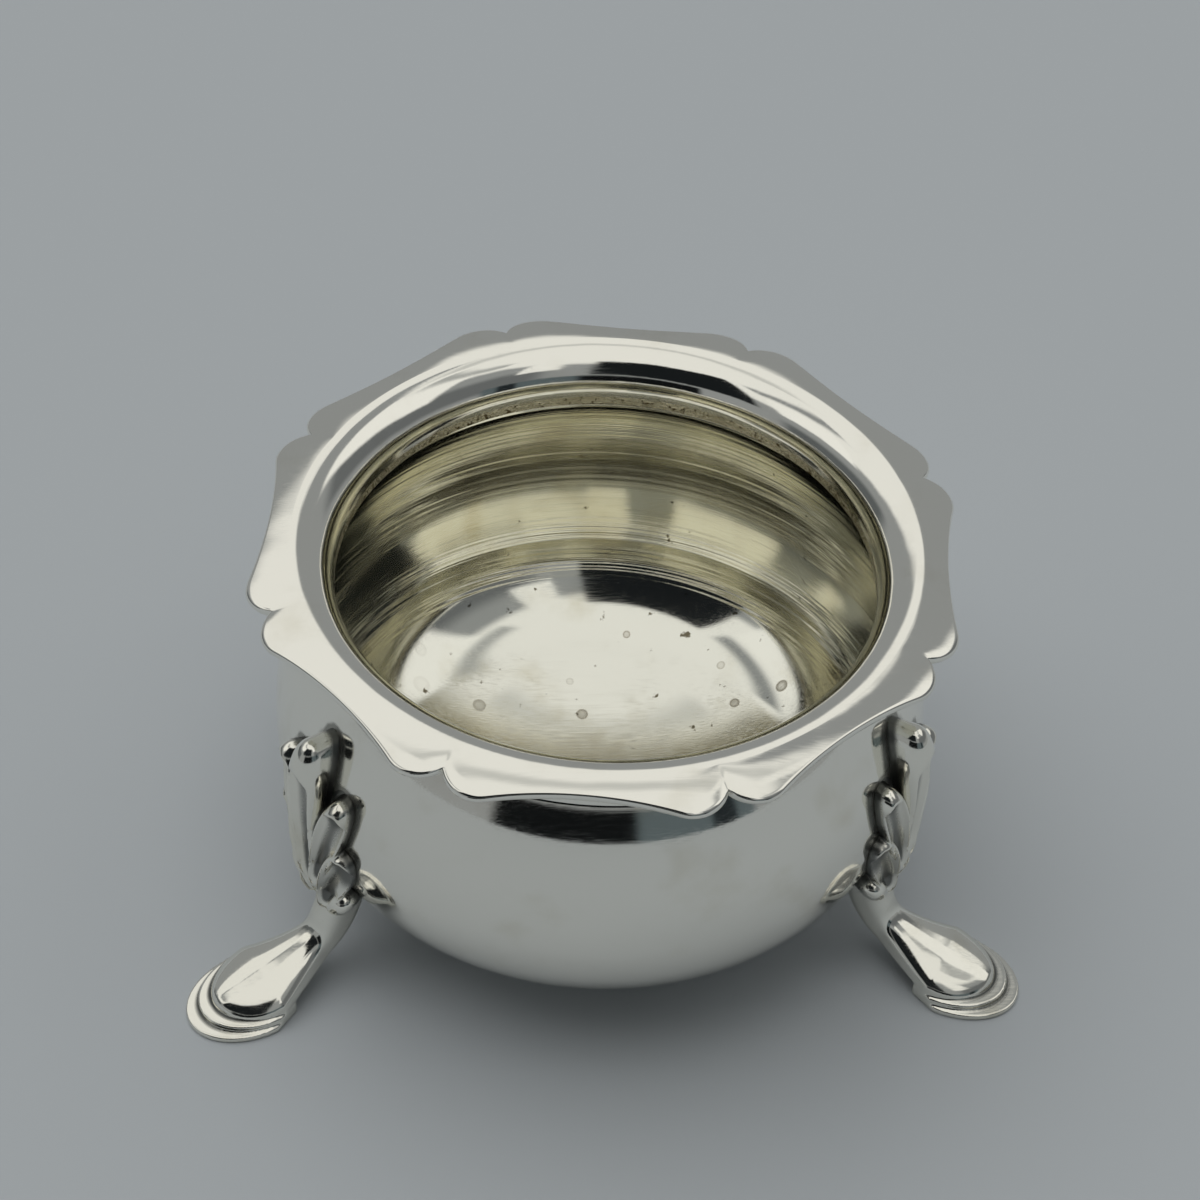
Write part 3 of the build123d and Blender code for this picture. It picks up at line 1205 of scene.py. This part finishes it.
@dataclass(frozen=True)
class Patch:
    """A round soft-edged patch of the room's light, seen from the cellar. Angles are in degrees.

    The bearing is counted to the right from the part's +Y.
    """

    bearing: float
    elevation: float
    full: float
    end: float
    colour: str

    def way(self) -> Vector:
        """Direction from the cellar to the patch's middle."""
        turn, rise = math.radians(self.bearing), math.radians(self.elevation)
        return Vector((math.sin(turn) * math.cos(rise), math.cos(turn) * math.cos(rise), math.sin(rise)))

    def share(self, tree: Tree, way: Socket) -> Socket:
        """How much of the patch is seen each way, from 0 to 1.

        Args:
            tree: Node tree of the world.
            way: Direction that is looked at.

        Returns:
            The share.
        """
        close = add_node(tree, "VectorMath", {
            0: way, 1: self.way(),
        }, operation="DOT_PRODUCT").outputs["Value"]
        return add_node(tree, "MapRange", {
            "Value": close,
            "From Min": math.cos(math.radians(self.end)),
            "From Max": math.cos(math.radians(self.full)),
        }, **SMOOTH).outputs["Result"]


@dataclass(frozen=True)
class Panel:
    """An upright panel, bright or dark, that stands round the cellar. Angles are in degrees.

    The bearing is counted to the right from the part's +Y.
    """

    bearing: float
    elevation: float
    half_width: float
    half_height: float
    colour: str
    soft: float = 3.0

    def share(self, tree: Tree, way: Socket) -> Socket:
        """How much of the panel is seen each way, from 0 to 1.

        Args:
            tree: Node tree of the world.
            way: Direction that is looked at.

        Returns:
            The share.
        """
        turn = math.radians(self.bearing)
        axes = Vector((math.cos(turn), -math.sin(turn), 0)), Vector((math.sin(turn), math.cos(turn), 0))
        across, ahead = [add_node(tree, "VectorMath", {
            0: way, 1: axis,
        }, operation="DOT_PRODUCT").outputs["Value"] for axis in axes]
        height = add_node(tree, "SeparateXYZ", {"Vector": way}).outputs["Z"]
        side = add_node(tree, "Math", {0: across, 1: ahead}, operation="ARCTAN2").outputs[0]
        rise = add_node(tree, "Math", {0: height}, operation="ARCSINE").outputs[0]
        lift = add_node(tree, "Math", {
            0: rise, 1: math.radians(self.elevation),
        }, operation="SUBTRACT").outputs[0]
        parts = []
        for angle, half in ((side, self.half_width), (lift, self.half_height)):
            away = add_node(tree, "Math", {0: angle}, operation="ABSOLUTE").outputs[0]
            parts.append(add_node(tree, "MapRange", {
                "Value": away,
                "From Min": math.radians(half + self.soft / 2),
                "From Max": math.radians(half - self.soft / 2),
            }, **SMOOTH).outputs["Result"])
        return add_node(tree, "Math", {0: parts[0], 1: parts[1]}, operation="MULTIPLY").outputs[0]


@dataclass
class Studio:
    """Plain pale floor in a grey room with a soft bright ceiling."""

    floor_colour: str = "#AEB3B7"
    floor_rough: float = 0.9
    wall_colour: str = "#8E9192"
    backdrop_colour: str = "#9DA2A5"
    floor_size: float = 8.0
    lamp_strength: float = 0.9
    lamp_spread: float = 60.0
    ceiling: Patch = Patch(-66.2, 77.0, 42.0, 48.0, "#E9E9E5")
    panels: tuple[Panel, ...] = (
        Panel(105.8, 26.0, 50.0, 16.0, "#66696B", soft=12.0),
        Panel(-79.2, 6.0, 28.0, 12.0, "#5A5E60", soft=10.0),
        Panel(5.8, 66.0, 40.0, 3.0, "#C6C7C4", soft=5.0),
        Panel(2.8, 41.0, 10.0, 9.0, "#E9E9E5", soft=6.0),
        Panel(37.8, 49.0, 20.0, 11.0, "#8E9192", soft=4.0),
        Panel(-87.2, 39.0, 20.0, 10.0, "#EEEEEA"),
        Panel(76.8, 48.0, 31.0, 13.0, "#EEEEEA", soft=6.0),
        Panel(153.8, 49.0, 9.0, 10.0, "#EAEAE6"),
        Panel(89.8, 65.0, 32.0, 3.0, "#A9ABAA", soft=5.0),
        Panel(-80.2, 56.0, 28.0, 3.5, "#8A8D8E", soft=5.0),
        Panel(-151.2, 41.0, 33.0, 19.0, "#181B1D"),
        Panel(157.8, 6.0, 24.0, 12.0, "#566064"),
        Panel(143.8, 6.0, 4.0, 12.0, "#22272A"),
        Panel(-165.2, 7.0, 23.0, 12.0, "#101213", soft=4.0),
    )

    def build(self) -> None:
        """Set the floor, the room and the lamp."""
        bpy.ops.object.select_all(action="DESELECT")
        bpy.ops.mesh.primitive_plane_add(size=self.floor_size, location=(0, 0, 0))
        floor = bpy.context.active_object
        floor.name = "floor"
        # Matt paper: an even, pale grey without gloss.
        paper = bpy.data.materials.new("matt_paper")
        paper.use_nodes = True
        shader = paper.node_tree.nodes["Principled BSDF"]
        shader.inputs["Base Color"].default_value = linear(self.floor_colour)
        shader.inputs["Roughness"].default_value = self.floor_rough
        dress(floor, paper)
        lamp = bpy.data.lights.new("soft_lamp", "SUN")
        lamp.energy = self.lamp_strength
        lamp.angle = math.radians(self.lamp_spread)
        holder = bpy.data.objects.new("soft_lamp", lamp)
        holder.rotation_euler = self.ceiling.way().to_track_quat("Z", "Y").to_euler()
        holder.visible_glossy = False
        bpy.context.scene.collection.objects.link(holder)
        bpy.context.scene.world = self.room()
        bpy.context.scene.view_settings.view_transform = "Standard"

    def room(self) -> bpy.types.World:
        """Room light: grey walls, a bright ceiling, bright and dark panels and a plain backdrop.

        Returns:
            The world.
        """
        world = bpy.data.worlds.new("room")
        world.use_nodes = True
        tree = world.node_tree
        tree.nodes.clear()
        way = add_node(tree, "TexCoord").outputs["Generated"]
        light = linear(self.wall_colour)
        for area in (self.ceiling, *self.panels):
            light = add_node(tree, "Mix", {
                "Factor": area.share(tree, way), 6: light, 7: linear(area.colour),
            }, data_type="RGBA").outputs[2]
        seen = add_node(tree, "Mix", {
            "Factor": add_node(tree, "LightPath").outputs["Is Camera Ray"],
            6: light,
            7: linear(self.backdrop_colour),
        }, data_type="RGBA").outputs[2]
        background = add_node(tree, "Background", {"Color": seen})
        add_node(tree, "OutputWorld", {"Surface": background.outputs["Background"]})
        return world


def main() -> None:
    """Build the cellar, its finishes and its studio."""
    logging.basicConfig(level=logging.INFO, format="%(message)s")
    outside = GrimySilver(
        "polished_sterling_belly", "#F3F1E9", "#E7E3D7", grime="#A3A29B", grime_mark="joint").material()
    wall = LatheWall("spun_sterling_wall", "#F0EEE1", "#E4DFCB", gloss=0.05, haze=0.12).material()
    base = SaltedBase("salt_spotted_sterling_base", "#EEEDE3", "#E0DCCB", gloss=0.06, haze=0.14).material()
    border = Silver(
        "polished_sterling_rim", "#F3F1E9", "#E9E6DB", wave_size=4.0, wave_depth=0.035).material()
    seam = SolderSeam("silver_solder_seam", "#DDD6C0", "#B5AA8A", gloss=0.2, haze=0.4).material()
    casting = GrimySilver(
        "polished_sterling_casting", "#F0EEE5", "#DEDACB", gloss=0.08, haze=0.18).material()
    bowl = SpunBowl()
    shell = bowl.build(outside, wall, base)
    ShapedRim().build(border, seam)
    feet = CastFeet().build(casting, bowl.outside_radius)
    bowl.mark_joints(shell, feet)
    PhotoCamera().build()
    Studio().build()


if __name__ == "__main__":
    main()
